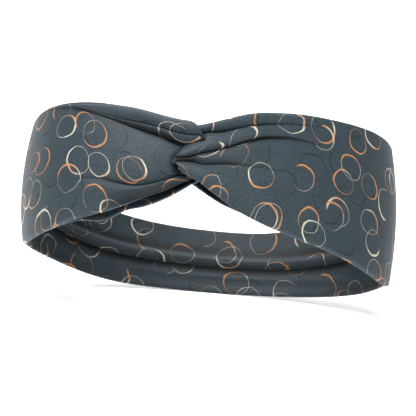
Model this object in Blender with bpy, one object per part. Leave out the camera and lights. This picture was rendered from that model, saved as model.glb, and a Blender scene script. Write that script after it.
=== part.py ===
"""Knotted headband: a wide, soft jersey band folded to two layers, knotted at the forehead.

Two gathered loops of the band, one from each side, hook through each other at the knot.
The band runs from the knot round both sides of the head to the back, where its two long
edges are folded inwards as an upper and a lower flap.

Frame: origin at the middle of the head opening, +X to the wearer's left as seen from the
front (the viewer's right), +Y from the forehead to the back of the head, +Z up. The loop
lies on the slope of a worn headband, forehead high and nape low. Metres.

Local coordinates of the loop, before it is sloped:
  x      sideways
  depth  from the forehead (negative) to the back of the head (positive)
  height along the loop's own axis
A place on the band is given by its angle round the loop (0 at the knot, 90 at +X, 180 at
the back), its height, and its inset, the distance in from the outer surface.
"""
import math

import bmesh
import bpy
import numpy as np

# The loop
LOOP_HALF_WIDTH = 0.0950      # middle of the opening to the outer surface, sideways
LOOP_FRONT_DEPTH = 0.0700     # middle of the opening to the outer surface, forehead
LOOP_BACK_DEPTH = 0.0700      # middle of the opening to the outer surface, back of the head
FRONT_ROUNDING = 1.17         # power of the plan curve: above 1 the forehead is more pointed
BACK_ROUNDING = 0.97          # below 1 the back is squarer
KNOT_SIDESTEP = 0.0135        # the knot sits off centre, towards -X
WORN_SLOPE = math.radians(28.0)

# The band's two long edges: angle round the loop in degrees, top edge, bottom edge
BAND_EDGES = (
    (0.0, 0.0158, -0.0165),     # knot
    (20.0, 0.0265, -0.0305),
    (45.0, 0.0335, -0.0365),
    (75.0, 0.0390, -0.0385),
    (95.0, 0.0390, -0.0320),    # +X side, the band's widest
    (120.0, 0.0235, -0.0280),
    (150.0, 0.0140, -0.0230),
    (180.0, 0.0145, -0.0205),   # back of the head
    (210.0, 0.0175, -0.0210),
    (240.0, 0.0245, -0.0200),
    (265.0, 0.0365, -0.0240),   # -X side
    (285.0, 0.0370, -0.0300),
    (315.0, 0.0320, -0.0320),
    (340.0, 0.0240, -0.0300),
)
EDGE_CURL = 0.0030            # both long edges lean in by this much at the sides
EDGE_CURL_POWER = 4.0         # how quickly the lean fades from the sides to knot and back

# The cloth
CLOTH = 0.0012                # one layer, two plies of jersey folded together
LAYER_GAP = 0.0003
SHEET_HEIGHT_STEPS = 6
SHEET_ANGLE_STEP = 4.0        # degrees round the loop for each step of a sheet

# The knot
KNOT_HALF_LENGTH = 0.0300     # knot centre to where the two gathered ends meet the panels
TURN_REACH = 0.0062           # how far past the knot's centre a strand's centre line turns
STRAND_HALF_DEPTH = 0.0034    # gathered strand's section
STRAND_HALF_HEIGHT = 0.0068
STRAND_ROOM_DEPTH = 0.0016    # half the room between the front strands and the rear ones
STRAND_ROOM_HEIGHT = 0.0014   # half the room between the upper strands and the lower ones
BIGHT_HALF_WIDTH = 0.0050     # section of the turn, across its bend
BIGHT_CLEARANCE = 0.0005      # the turn passes between the other loop's strands with this gap
GATHER_POWER = 1.5            # above 1 the strands stay wide until they are near the knot
KNOT_CENTRE_INSET = 0.0035
KNOT_CENTRE_HEIGHT = -0.0005
STRAND_OFFSET_DEPTH = STRAND_HALF_DEPTH + STRAND_ROOM_DEPTH
STRAND_OFFSET_HEIGHT = STRAND_HALF_HEIGHT + STRAND_ROOM_HEIGHT
KNOT_CORE_HALF_LENGTH = TURN_REACH + BIGHT_HALF_WIDTH  # inside this a strand is fully gathered
STRAND_SIDES = 16
STRAND_RUN_STEPS = 14
STRAND_TURN_STEPS = 10

# The inner layer of the front panels shows as a strip below the outer layer
INNER_STRIP = 0.0050          # how far it reaches below the outer layer at the knot
LEFT_STRIP_END = math.radians(50.0)   # where the strip has faded to nothing, on the -X side
RIGHT_STRIP_END = math.radians(16.0)  # and on the +X side
INNER_TOP_SETBACK = 0.0020    # how far its top edge stays below the outer layer's

# The sides: where front and back part
SIDE_SPLIT = 90.0             # degrees: the loop's widest place
BACK_STRETCH = 0.0250         # travel of the back when the band stretches over a head
INNER_OVERLAP = 0.0030        # inner layers still overlap the split by this when stretched

# The back's folded edges
FLAP_LAP = 0.0060             # height over which the upper flap covers the lower one
UPPER_FLAP_SHARE = 0.60       # upper flap's height as a share of the band's height

# The closing seam, on the inner layer beside the knot
SEAM_ALLOWANCE = 0.0060       # width of the turned-over allowance
SEAM_ALLOWANCE_THICKNESS = 0.0009
SEAM_SETBACK = 0.0040         # from the end of the inner layer
SEAM_EDGE_SETBACK = 0.0050    # from the inner layer's top and bottom edges
STITCH_COUNT = 14
STITCH_WIDTH = 0.0030
THREAD = 0.0005
THREAD_SIDES = 6


# ---------------------------------------------------------------- the loop's own shape

def plan_curve(angle):
    """Outer surface in plan: x = width sin(angle), depth = -depth sign(cos) |cos|^power."""
    sine, cosine = np.sin(angle), np.cos(angle)
    front = cosine > 0.0
    power = np.where(front, FRONT_ROUNDING, BACK_ROUNDING)
    reach = np.where(front, LOOP_FRONT_DEPTH, LOOP_BACK_DEPTH)
    x = LOOP_HALF_WIDTH * sine - KNOT_SIDESTEP * np.clip(cosine, 0.0, 1.0) ** 2
    depth = -reach * np.sign(cosine) * np.abs(cosine) ** power
    return x, depth


def inward_direction(angle):
    """Unit vector in plan that points into the loop, square to the plan curve."""
    step = 0.001
    x_before, depth_before = plan_curve(angle - step)
    x_after, depth_after = plan_curve(angle + step)
    along_x, along_depth = x_after - x_before, depth_after - depth_before
    length = np.hypot(along_x, along_depth)
    return -along_depth / length, along_x / length


def edge_height(angle, column):
    """Height of a long edge: a smooth periodic curve through the stations of BAND_EDGES."""
    stations = np.radians([row[0] for row in BAND_EDGES])
    heights = np.array([row[column] for row in BAND_EDGES])
    turn = 2.0 * math.pi
    knots = np.concatenate([stations - turn, stations, stations + turn])
    values = np.concatenate([heights] * 3)
    spans = np.diff(knots)
    slopes = np.diff(values) / spans
    tangents = np.zeros_like(knots)
    tangents[1:-1] = (slopes[:-1] * spans[1:] + slopes[1:] * spans[:-1]) / (spans[:-1] + spans[1:])
    wrapped = np.mod(angle, turn)
    i = np.searchsorted(knots, wrapped, side="right") - 1
    t = (wrapped - knots[i]) / spans[i]
    rise = 3.0 * t ** 2 - 2.0 * t ** 3
    start_pull = (t ** 3 - 2.0 * t ** 2 + t) * spans[i] * tangents[i]
    end_pull = (t ** 3 - t ** 2) * spans[i] * tangents[i + 1]
    return values[i] + (values[i + 1] - values[i]) * rise + start_pull + end_pull


def top_edge(angle):
    return edge_height(angle, 1)


def bottom_edge(angle):
    return edge_height(angle, 2)


def outer_bottom_edge(angle):
    """The outer layer ends above the bottom edge near the knot, where the strip shows."""
    from_knot = np.remainder(angle + math.pi, 2.0 * math.pi) - math.pi
    strip_end = np.where(from_knot < 0.0, LEFT_STRIP_END, RIGHT_STRIP_END)
    return bottom_edge(angle) + INNER_STRIP * np.clip(1.0 - np.abs(from_knot) / strip_end, 0.0, 1.0)


def place_on_band(angle, height, inset):
    """World points of places given by angle, height and inset, as an array of (x, y, z)."""
    x, depth = plan_curve(angle)
    inward_x, inward_depth = inward_direction(angle)
    top, bottom = top_edge(angle), bottom_edge(angle)
    from_middle = (height - 0.5 * (top + bottom)) / (0.5 * (top - bottom))
    curl = EDGE_CURL * np.abs(np.sin(angle)) ** EDGE_CURL_POWER * from_middle ** 2
    x = x + inward_x * (inset + curl)
    depth = depth + inward_depth * (inset + curl)
    y = depth * math.cos(WORN_SLOPE) + height * math.sin(WORN_SLOPE)
    z = -depth * math.sin(WORN_SLOPE) + height * math.cos(WORN_SLOPE)
    return np.stack([x, y, z], axis=-1)


# ---------------------------------------------------------------- making objects

def cloth_material(name, colour, roughness=0.9):
    """Matt cloth: a Principled BSDF with colour, roughness and metallic."""
    material = bpy.data.materials.new(name)
    material.use_nodes = True
    shader = material.node_tree.nodes["Principled BSDF"]
    shader.inputs["Base Color"].default_value = (*colour, 1.0)
    shader.inputs["Roughness"].default_value = roughness
    shader.inputs["Metallic"].default_value = 0.0
    return material


def add_object(name, vertices, faces, colour, sharp_angle=50.0):
    """Make one object from points and faces, shaded smooth except over its sharp edges."""
    mesh = bpy.data.meshes.new(name)
    mesh.from_pydata([tuple(point) for point in vertices], [], faces)
    face_work = bmesh.new()
    face_work.from_mesh(mesh)
    bmesh.ops.recalc_face_normals(face_work, faces=face_work.faces[:])
    face_work.to_mesh(mesh)
    face_work.free()
    mesh.shade_smooth()
    mesh.set_sharp_from_angle(angle=math.radians(sharp_angle))
    mesh.materials.append(cloth_material(name, colour))
    built = bpy.data.objects.new(name, mesh)
    bpy.context.scene.collection.objects.link(built)
    return built


def sheet(name, start, end, top, bottom, inset, colour, thickness=CLOTH):
    """A sheet of cloth round the loop from one angle to another, in degrees.

    top and bottom give its edges' heights at an angle. The outer face is at the inset and
    the inner face a thickness further in. Four rims close the sheet.
    """
    across = max(2, round(abs(end - start) / SHEET_ANGLE_STEP)) + 1
    up = SHEET_HEIGHT_STEPS + 1
    angle = np.radians(np.linspace(start, end, across))[:, None] * np.ones(up)
    share = np.linspace(0.0, 1.0, up)[None, :] * np.ones((across, 1))
    height = bottom(angle) + (top(angle) - bottom(angle)) * share
    outer = place_on_band(angle, height, inset)
    inner = place_on_band(angle, height, inset + thickness)
    vertices = np.concatenate([outer.reshape(-1, 3), inner.reshape(-1, 3)])
    count = across * up
    index = np.arange(count).reshape(across, up)
    faces = []
    for i in range(across - 1):
        for j in range(up - 1):
            corners = [index[i, j], index[i + 1, j], index[i + 1, j + 1], index[i, j + 1]]
            faces.append([int(c) for c in corners])
            faces.append([int(c) + count for c in reversed(corners)])
    ring = [*index[:, 0], *index[-1, 1:], *index[-2::-1, -1], *index[0, -2:0:-1]]
    for here, there in zip(ring, ring[1:] + ring[:1]):
        faces.append([int(there), int(here), int(here) + count, int(there) + count])
    return add_object(name, vertices, faces, colour)


def tube(name, rings, colour):
    """Closed tube through a row of point rings, with flat ends."""
    count, sides = rings.shape[0], rings.shape[1]
    faces = []
    for i in range(count - 1):
        for j in range(sides):
            k = (j + 1) % sides
            faces.append([i * sides + j, i * sides + k, (i + 1) * sides + k, (i + 1) * sides + j])
    faces.append(list(range(sides - 1, -1, -1)))
    faces.append([(count - 1) * sides + j for j in range(sides)])
    return add_object(name, rings.reshape(-1, 3), faces, colour)


# ---------------------------------------------------------------- the knot

def ease(t):
    """Smooth step from 0 to 1."""
    t = np.clip(t, 0.0, 1.0)
    return t * t * (3.0 - 2.0 * t)


def knot_angle(along):
    """Angle round the loop of a place so far along the band from the knot."""
    return np.asarray(along) / LOOP_HALF_WIDTH


def bight_half_thickness(turn_radius):
    """Half thickness of a turn: half the gap it passes through, less the clearance.

    The gap lies between the other loop's two strands. Half of it is the distance from the
    knot's centre line to a strand's centre, less that strand's own half size that way.
    """
    across_depth = STRAND_OFFSET_HEIGHT / turn_radius
    across_height = STRAND_OFFSET_DEPTH / turn_radius
    to_strand = STRAND_OFFSET_DEPTH * across_depth + STRAND_OFFSET_HEIGHT * across_height
    strand_half = math.hypot(STRAND_HALF_DEPTH * across_depth, STRAND_HALF_HEIGHT * across_height)
    return to_strand - strand_half - BIGHT_CLEARANCE


def knot_bight(name, side, front_up, colour):
    """One of the two gathered loops that hook through each other.

    side is +1 for the loop that comes from +X and -1 for the one from -X. front_up is +1 if
    its front strand is the upper one, and -1 if it is the lower one. The strand comes in
    flat from the outer layer and gathers to an oval. Then it turns back on itself, round a
    half ellipse that passes through the other loop, and goes out flat behind it, to the
    inner layer. A ring is a centre plus an ellipse on two directions, given as (inset,
    height) pairs: from the front strand to the rear one, and square to that.
    """
    turn_radius = math.hypot(STRAND_OFFSET_DEPTH, STRAND_OFFSET_HEIGHT)
    turn_half_thickness = bight_half_thickness(turn_radius)
    knot_middle = np.array([KNOT_CENTRE_INSET, KNOT_CENTRE_HEIGHT])
    to_rear = np.array([STRAND_OFFSET_DEPTH, -front_up * STRAND_OFFSET_HEIGHT]) / turn_radius
    square = np.array([-to_rear[1], to_rear[0]])
    spin = np.linspace(0.0, 2.0 * math.pi, STRAND_SIDES, endpoint=False)
    panel_end = knot_angle(side * KNOT_HALF_LENGTH)

    def strand_ring(along, rear):
        """One ring of the front strand (rear -1) or the rear strand (rear +1)."""
        from_centre = side * along
        gather_length = KNOT_HALF_LENGTH - KNOT_CORE_HALF_LENGTH
        gather = ease((KNOT_HALF_LENGTH - from_centre) / gather_length) ** GATHER_POWER
        turning = ease((KNOT_CORE_HALF_LENGTH - from_centre) / KNOT_CORE_HALF_LENGTH)
        layer_inset = 0.5 * CLOTH if rear < 0 else 1.5 * CLOTH + LAYER_GAP
        layer_top = top_edge(panel_end) - (0.0 if rear < 0 else INNER_TOP_SETBACK)
        layer_bottom = outer_bottom_edge(panel_end) if rear < 0 else bottom_edge(panel_end)
        flat_centre = np.array([layer_inset, 0.5 * (layer_top + layer_bottom)])
        flat_size = np.array([0.5 * CLOTH, 0.5 * (layer_top - layer_bottom)])
        gathered_size = np.array([STRAND_HALF_DEPTH, STRAND_HALF_HEIGHT])
        gathered_centre = knot_middle + rear * turn_radius * to_rear
        centre = flat_centre + (gathered_centre - flat_centre) * gather
        size = flat_size + (gathered_size - flat_size) * gather
        across_bend = rear * np.cos(spin)[:, None] * to_rear
        square_to_bend = np.sin(spin)[:, None] * square
        oval = size * (across_bend + square_to_bend)
        turned = BIGHT_HALF_WIDTH * across_bend + turn_half_thickness * square_to_bend
        place = centre + oval + (turned - oval) * turning
        return place_on_band(knot_angle(along), place[:, 1], place[:, 0])

    def turn_ring(swing):
        """One ring of the turn, at an angle of swing from the front strand."""
        bulge = BIGHT_HALF_WIDTH * np.cos(spin)
        along = -side * (TURN_REACH + bulge) * math.sin(swing)
        across = -(turn_radius + bulge) * math.cos(swing)
        place = knot_middle + across[:, None] * to_rear
        place = place + turn_half_thickness * np.sin(spin)[:, None] * square
        return place_on_band(knot_angle(along), place[:, 1], place[:, 0])

    run = np.linspace(side * KNOT_HALF_LENGTH, 0.0, STRAND_RUN_STEPS + 1)
    swings = np.linspace(0.0, math.pi, STRAND_TURN_STEPS + 1)[1:-1]
    rings = [strand_ring(along, -1) for along in run]
    rings += [turn_ring(swing) for swing in swings]
    rings += [strand_ring(along, 1) for along in run[::-1]]
    return tube(name, np.array(rings), colour)


# ---------------------------------------------------------------- the band

def front_panel_pair(side_name, side, outer_colour, inner_colour):
    """The outer and the inner layer of one side, from the knot to the loop's widest place."""
    gap_angle = math.degrees(LAYER_GAP / LOOP_HALF_WIDTH)
    knot_end = math.degrees(knot_angle(KNOT_HALF_LENGTH)) + gap_angle
    inner_end = inner_layer_end_angle()
    inset = CLOTH + LAYER_GAP

    def inner_top(angle):
        return top_edge(angle) - INNER_TOP_SETBACK

    sheet(f"{side_name}_outer_panel", side * knot_end, side * SIDE_SPLIT,
          top_edge, outer_bottom_edge, 0.0, outer_colour)
    sheet(f"{side_name}_inner_panel", side * knot_end, side * inner_end,
          inner_top, bottom_edge, inset, inner_colour)


def inner_layer_end_angle():
    """Angle where the front's inner layer ends and the back's folded edges begin.

    It is so far forward of the split that the back's folded edges, drawn back by the
    stretch, still reach under the front's outer layer.
    """
    reach = (BACK_STRETCH + INNER_OVERLAP) / LOOP_FRONT_DEPTH
    return math.degrees(math.acos(reach ** (1.0 / FRONT_ROUNDING)))


def back_of_band(outer_colour, upper_colour, lower_colour):
    """The back: outer layer, lower flap turned up inside it, upper flap turned down over that."""
    gap_angle = math.degrees(LAYER_GAP / LOOP_FRONT_DEPTH)
    outer_start = SIDE_SPLIT + gap_angle
    flap_start = inner_layer_end_angle() + gap_angle
    lower_inset = CLOTH + LAYER_GAP
    upper_inset = 2.0 * (CLOTH + LAYER_GAP)

    def upper_flap_edge(angle):
        top, bottom = top_edge(angle), bottom_edge(angle)
        return top - UPPER_FLAP_SHARE * (top - bottom)

    def lower_flap_edge(angle):
        return upper_flap_edge(angle) + FLAP_LAP

    sheet("back_outer_layer", outer_start, 360.0 - outer_start,
          top_edge, bottom_edge, 0.0, outer_colour)
    sheet("back_lower_flap", flap_start, 360.0 - flap_start,
          lower_flap_edge, bottom_edge, lower_inset, lower_colour)
    sheet("back_upper_flap", flap_start, 360.0 - flap_start,
          top_edge, upper_flap_edge, upper_inset, upper_colour)


def closing_seam(allowance_colour, thread_colour):
    """The seam that closes the band's cloth to a ring, inside, beside the knot.

    The turned-over allowance lies on the -X inner layer, and the sewing thread runs up the
    allowance in a zigzag.
    """
    panel_end = math.degrees(knot_angle(KNOT_HALF_LENGTH + SEAM_SETBACK))
    seam_width = math.degrees(SEAM_ALLOWANCE / LOOP_HALF_WIDTH)
    allowance_inset = 2.0 * (CLOTH + LAYER_GAP)

    def seam_top(angle):
        return top_edge(angle) - INNER_TOP_SETBACK - SEAM_EDGE_SETBACK

    def seam_bottom(angle):
        return bottom_edge(angle) + SEAM_EDGE_SETBACK

    sheet("closing_seam_allowance", -panel_end, -panel_end - seam_width,
          seam_top, seam_bottom, allowance_inset, allowance_colour, SEAM_ALLOWANCE_THICKNESS)

    middle = math.radians(-panel_end - 0.5 * seam_width)
    half_zigzag = 0.5 * STITCH_WIDTH / LOOP_HALF_WIDTH
    low, high = float(seam_bottom(middle)), float(seam_top(middle))
    thread_inset = allowance_inset + SEAM_ALLOWANCE_THICKNESS + LAYER_GAP + 0.5 * THREAD
    spin = np.linspace(0.0, 2.0 * math.pi, THREAD_SIDES, endpoint=False)
    rings = []
    for i in range(2 * STITCH_COUNT + 1):
        height = low + (high - low) * i / (2 * STITCH_COUNT)
        swing = middle + half_zigzag * (-1) ** i
        angle = swing + THREAD * np.cos(spin) / LOOP_HALF_WIDTH
        inset = thread_inset + 0.5 * THREAD * np.sin(spin)
        rings.append(place_on_band(angle, height, inset))
    tube("closing_seam_thread", np.array(rings), thread_colour)


def main():
    for old in list(bpy.data.objects):
        bpy.data.objects.remove(old, do_unlink=True)
    slate = (0.055, 0.075, 0.095)
    slate_inner = (0.040, 0.056, 0.072)
    slate_flap = (0.047, 0.065, 0.083)
    thread = (0.030, 0.040, 0.052)
    front_panel_pair("left", -1, slate, slate_inner)
    front_panel_pair("right", 1, slate, slate_inner)
    knot_bight("left_knot_bight", -1, 1, slate)
    knot_bight("right_knot_bight", 1, -1, slate)
    back_of_band(slate, slate_flap, slate_inner)
    closing_seam(slate_flap, thread)


main()
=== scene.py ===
"""Knotted headband: the finished cloth, its printed jersey, the light and the camera.

Every piece is a sheet of cloth worked out on a grid. A place on the band is given as in the
frame: by its angle round the loop (0 at the knot, 90 degrees at +X, 180 at the back), its
height along the loop's own axis, and its inset, the distance in from the outer surface.
Close to the knot a strap has its own measure: out, the distance from the knot's centre
towards the strap's own side, which is negative past the centre.
"""

import math

import bpy
import numpy as np
from mathutils import Matrix, Vector


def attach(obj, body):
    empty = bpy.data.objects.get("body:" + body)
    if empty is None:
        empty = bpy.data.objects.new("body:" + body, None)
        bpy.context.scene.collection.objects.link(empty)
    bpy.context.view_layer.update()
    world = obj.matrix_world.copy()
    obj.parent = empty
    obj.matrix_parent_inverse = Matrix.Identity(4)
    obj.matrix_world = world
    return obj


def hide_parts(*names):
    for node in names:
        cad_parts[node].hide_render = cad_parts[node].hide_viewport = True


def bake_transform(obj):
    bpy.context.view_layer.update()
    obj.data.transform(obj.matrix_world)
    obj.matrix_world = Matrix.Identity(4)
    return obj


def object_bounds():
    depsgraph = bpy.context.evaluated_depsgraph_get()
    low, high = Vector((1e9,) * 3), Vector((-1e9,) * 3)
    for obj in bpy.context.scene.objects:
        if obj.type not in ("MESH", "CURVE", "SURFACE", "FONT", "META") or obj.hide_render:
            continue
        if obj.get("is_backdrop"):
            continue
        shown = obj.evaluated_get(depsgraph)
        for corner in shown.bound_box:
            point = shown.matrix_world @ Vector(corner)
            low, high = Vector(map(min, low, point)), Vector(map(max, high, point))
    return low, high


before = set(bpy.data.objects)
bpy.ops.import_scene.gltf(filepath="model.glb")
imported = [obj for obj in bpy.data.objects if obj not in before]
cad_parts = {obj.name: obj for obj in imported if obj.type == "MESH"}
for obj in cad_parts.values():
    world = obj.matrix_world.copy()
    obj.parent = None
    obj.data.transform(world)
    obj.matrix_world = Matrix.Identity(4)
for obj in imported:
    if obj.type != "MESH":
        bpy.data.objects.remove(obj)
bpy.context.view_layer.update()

bl_info = {
    "name": "Knotted headband",
    "version": (1, 0, 0),
    "blender": (4, 5, 0),
    "location": "View3D > Sidebar > Headband",
    "description": "Builds a knotted jersey headband around its frame",
    "category": "Add Mesh",
}

MM = 0.001

# ---------------------------------------------------------------- the loop, as in the frame

LOOP_HALF_WIDTH = 0.0950
LOOP_DEPTH = 0.0700
FRONT_ROUNDING = 1.17
BACK_ROUNDING = 0.97
KNOT_SIDESTEP = 0.0135
WORN_SLOPE = math.radians(28.0)
BAND_EDGES = (                 # angle round the loop, top edge, bottom edge
    (0.0, 0.0158, -0.0165), (20.0, 0.0265, -0.0305), (45.0, 0.0335, -0.0365),
    (75.0, 0.0390, -0.0385), (95.0, 0.0390, -0.0320), (120.0, 0.0235, -0.0280),
    (150.0, 0.0140, -0.0230), (180.0, 0.0145, -0.0205), (210.0, 0.0175, -0.0210),
    (240.0, 0.0245, -0.0200), (265.0, 0.0365, -0.0240), (285.0, 0.0370, -0.0300),
    (315.0, 0.0320, -0.0320), (340.0, 0.0240, -0.0300),
)
EDGE_CURL = 0.0030
EDGE_CURL_POWER = 4.0
SIDE = math.radians(90.0)      # where the straps become the back
STRAP_LENGTH = LOOP_HALF_WIDTH * SIDE
PANEL_START = 0.0300           # out at which a gathered end has widened to its panel

# ---------------------------------------------------------------- folds, in millimetres
# Each line is a row of (out, value). A strap's rolls lie between its fold lines.

LEFT_BOTTOM = ((-3, -10.0), (0, -11.8), (4.6, -14.2), (11.6, -18.4), (18.9, -21.3),
               (28.9, -25.3), (36.4, -27.7), (45.5, -29.4))
LEFT_LOW_VALLEY = ((-2, -9.6), (3.9, -10.2), (8.7, -12.2), (16.9, -15.4), (25, -17.0),
                   (35.5, -15.6), (48.4, -12.4), (70, -11.0), (150, -8.0))
LEFT_HIGH_VALLEY = ((-5, 5.6), (-3, 5.4), (0, 4.4), (2.9, 4.2), (5.8, 4.6), (9.7, 5.8),
                    (16.3, 8.2), (23.5, 10.4), (33.9, 13.9), (47.8, 19.4), (64, 25.0),
                    (85, 28.5), (150, 28.5))
LEFT_TOP_VALLEY = ((-5, 8.6), (0, 8.0), (3, 8.3), (9.7, 9.8), (16.5, 12.2), (25, 14.6),
                   (35, 17.0), (50, 21.5), (64, 26.4), (85, 31.0), (150, 31.5))
RIGHT_BOTTOM = ((-8, -9.0), (-4.9, -10.7), (0, -13.2), (4.6, -15.2), (7.9, -17.7),
                (11.7, -20.2), (17.8, -24.2), (24, -27.4), (33, -30.6), (45, -32.8))
RIGHT_LOW_VALLEY = ((-8, -5.6), (-0.5, -5.1), (5.6, -5.6), (9.7, -5.0), (14.2, -4.2),
                    (18.8, -3.4), (27, -3.0), (50, -2.5), (150, -4.0))
RIGHT_MIDDLE_VALLEY = ((-6.7, -3.2), (-0.7, -2.0), (3.8, 0.0), (8.4, 1.6), (12.9, 3.3),
                       (17.4, 5.5), (22, 7.8), (26.5, 10.0), (32, 12.4), (43, 15.0),
                       (70, 16.0), (150, 14.0))
RIGHT_HIGH_VALLEY = ((-6, 3.6), (0, 7.4), (4.9, 10.9), (7.2, 12.0), (10.5, 12.5),
                     (13.8, 13.0), (17.5, 14.3), (22.1, 16.3), (26.8, 18.0), (32.5, 19.8),
                     (50, 24.0), (80, 28.0), (150, 28.0))

# Where one strap lies over the other: rows of (height, out) of the upper cloth's edge.
RIGHT_OVER_LEFT = ((-13.2, 0.1), (-10.7, 4.9), (-7.3, 7.9), (-3.8, 8.6), (-0.1, 7.4),
                   (2.0, 5.7), (4.5, 2.9))
LEFT_OVER_RIGHT = ((5.1, 3.4), (6.8, 4.7), (9.4, 5.0), (11.9, 4.0), (13.7, 1.1), (14.5, -2.2))

CLOTH = 0.0012
LIP_RADIUS = 0.00135           # the folded long edges of the straps
LIP_LENGTH = 0.0020
INNER_STRIP = 0.0050           # how far the inner layer shows below the outer one at the knot
LEFT_STRIP_END = math.radians(50.0)
RIGHT_STRIP_END = math.radians(16.0)

# ---------------------------------------------------------------- the back's two flaps

BACK_TOP_RADIUS = 0.0021       # the top fold goes over the lower flap
UPPER_FLAP_SHARE = 0.60        # how far down the back the upper flap reaches
FLAP_LAP = 0.0060              # how far it laps over the lower one
FLAP_START = (math.radians(60.0), math.radians(76.0))   # the flaps open out between these
UPPER_ROLL = (0.0030, 0.0028, 0.0028)      # distance from the free edge, spread, how proud
UPPER_DROP = (0.0, 0.0010, 0.0026)
LOWER_RIPPLE = (0.0075, 0.0020, 0.0011)    # distance from the bottom fold, spread, how proud
FREE_EDGE_CROWDING = 1.5       # power that draws the upper flap's columns to its free edge
FOLD_STEPS = 7
FLAP_STEPS = 18

# ---------------------------------------------------------------- painted shading: how closed off from light
# Painted shade and highlight, carried by a float attribute that scales the cloth's colour: 0 in
# the open, up to 1 where no light gets in, below 0 where it is painted lighter than that.
# Distances in metres.

CONTACT_SHADE = 0.0030         # painted shadow: how far from the upper strap's edge the lower one is shaded
HEIGHT_FADE = 0.0020           # over which that shade ends above and below
BESIDE_DARK = 0.90             # the most painted shadow for cloth beside an edge that lies on it
UNDER_DARK = 0.88              # the most painted shade for the left strap's lowest roll
TURNED_DARK = 0.95             # the most painted shade for cloth turned away into the knot
LOW_ROLL_COLUMNS = 12.5        # columns of the lowest roll that get painted shade
LOW_ROLL_FADE = 10.0           # the last of them over which the shade fades
LOW_ROLL_END = 0.022           # over which it ends past the gathered end
HIDDEN_FROM = 0.45             # share of a half turn at which the cloth starts to hide
HIDDEN_FADE = 0.25
ENCLOSED = 0.28                # painted shade all round the inside
ENCLOSED_AT_SIDES = (math.radians(76.0), math.radians(28.0), 0.60)  # angle, spread, how far
FLAP_SHADE = 0.0012            # painted shadow: below the upper flap's edge, the lower one is fully shaded
FLAP_SHADE_FADE = 0.0042
FLAP_SHADE_TURN = 0.15         # radians over which that shade sets in
STRIP_LIGHT = -0.85            # painted light at the bottom edge of the strip below the outer layer
STRIP_FADE = 2.10              # how much more painted shade by the strip's full height
HOLLOW_FROM = 0.03             # shares of the half distance: where a hollow starts
HOLLOW_SPAN = 0.22             # and over what it grows to 1
CREST_SPAN = 0.40
PAINTED_HIGHLIGHT_SHARE = 0.45             # how far below 0 a crest's painted highlight counts

# ---------------------------------------------------------------- rows and columns

FACE_COLUMNS = 64              # columns of the outer face, shared by straps and back
STRAP_ROWS = 118
GATHER_ROWS = 40               # those before PANEL_START
ROW_SPREAD = 1.15              # power by which the others lie wider and wider apart
TURN_ROWS = 12                 # more rows, in the turn into the knot
TURN_END = 0.92                # how far the cloth turns there, as a share of a half turn
TURN_FADE = 0.0300             # the rows straighten over this distance from the turn
FOLDS_END = 0.0360             # held out at which the fold lines give way to the band's edges
FOLDS_FADE = 0.0180            # and over which they do so
BACK_ROWS = 96
SOFT_SHARPNESS = 1.6           # a roll's power where nothing gathers the cloth
RIM_STEPS = 3                  # points round each cut edge of the cloth


def plan_curve(angle):
    """Outer surface in plan: x is the half width times the sine, less the knot's sidestep
    times the cosine squared; depth is the loop's depth times the cosine to a power."""
    sine, cosine = np.sin(angle), np.cos(angle)
    power = np.where(cosine > 0.0, FRONT_ROUNDING, BACK_ROUNDING)
    x = LOOP_HALF_WIDTH * sine - KNOT_SIDESTEP * np.clip(cosine, 0.0, 1.0) ** 2
    return x, -LOOP_DEPTH * np.sign(cosine) * np.abs(cosine) ** power


def inward_direction(angle):
    """Unit vector in plan into the loop: the curve's own direction turned by a quarter."""
    step = 0.001
    x_before, depth_before = plan_curve(angle - step)
    x_after, depth_after = plan_curve(angle + step)
    along_x, along_depth = x_after - x_before, depth_after - depth_before
    length = np.hypot(along_x, along_depth)
    return -along_depth / length, along_x / length


def smooth_line(x, stations, values):
    """Cubic curve through (station, value) pairs. Each station's slope is the average of its
    two neighbouring slopes, each weighted by the other's span. Level beyond both ends."""
    stations, values = np.asarray(stations, float), np.asarray(values, float)
    spans = np.diff(stations)
    slopes = np.diff(values) / spans
    tangents = np.zeros_like(stations)
    tangents[1:-1] = ((slopes[:-1] * spans[1:] + slopes[1:] * spans[:-1])
                      / (spans[:-1] + spans[1:]))
    x = np.clip(x, stations[0], stations[-1])
    i = np.clip(np.searchsorted(stations, x, side="right") - 1, 0, len(spans) - 1)
    t = (x - stations[i]) / spans[i]
    rise = 3.0 * t ** 2 - 2.0 * t ** 3
    return (values[i] + (values[i + 1] - values[i]) * rise
            + (t ** 3 - 2.0 * t ** 2 + t) * spans[i] * tangents[i]
            + (t ** 3 - t ** 2) * spans[i] * tangents[i + 1])


def edge_height(angle, column):
    """Height of a long edge: the smooth curve through BAND_EDGES, repeated at every turn."""
    turn = 2.0 * math.pi
    stations = np.radians([row[0] for row in BAND_EDGES])
    heights = np.array([row[column] for row in BAND_EDGES])
    return smooth_line(np.mod(angle, turn),
                       np.concatenate([stations - turn, stations, stations + turn]),
                       np.concatenate([heights] * 3))


def top_edge(angle):
    return edge_height(angle, 1)


def bottom_edge(angle):
    return edge_height(angle, 2)


def outer_bottom_edge(angle):
    """The outer layer ends above the bottom edge close to the knot, where a strip shows."""
    from_knot = np.remainder(angle + math.pi, 2.0 * math.pi) - math.pi
    strip_end = np.where(from_knot < 0.0, LEFT_STRIP_END, RIGHT_STRIP_END)
    shown = np.clip(1.0 - np.abs(from_knot) / strip_end, 0.0, 1.0)
    return bottom_edge(angle) + INNER_STRIP * shown


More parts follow.
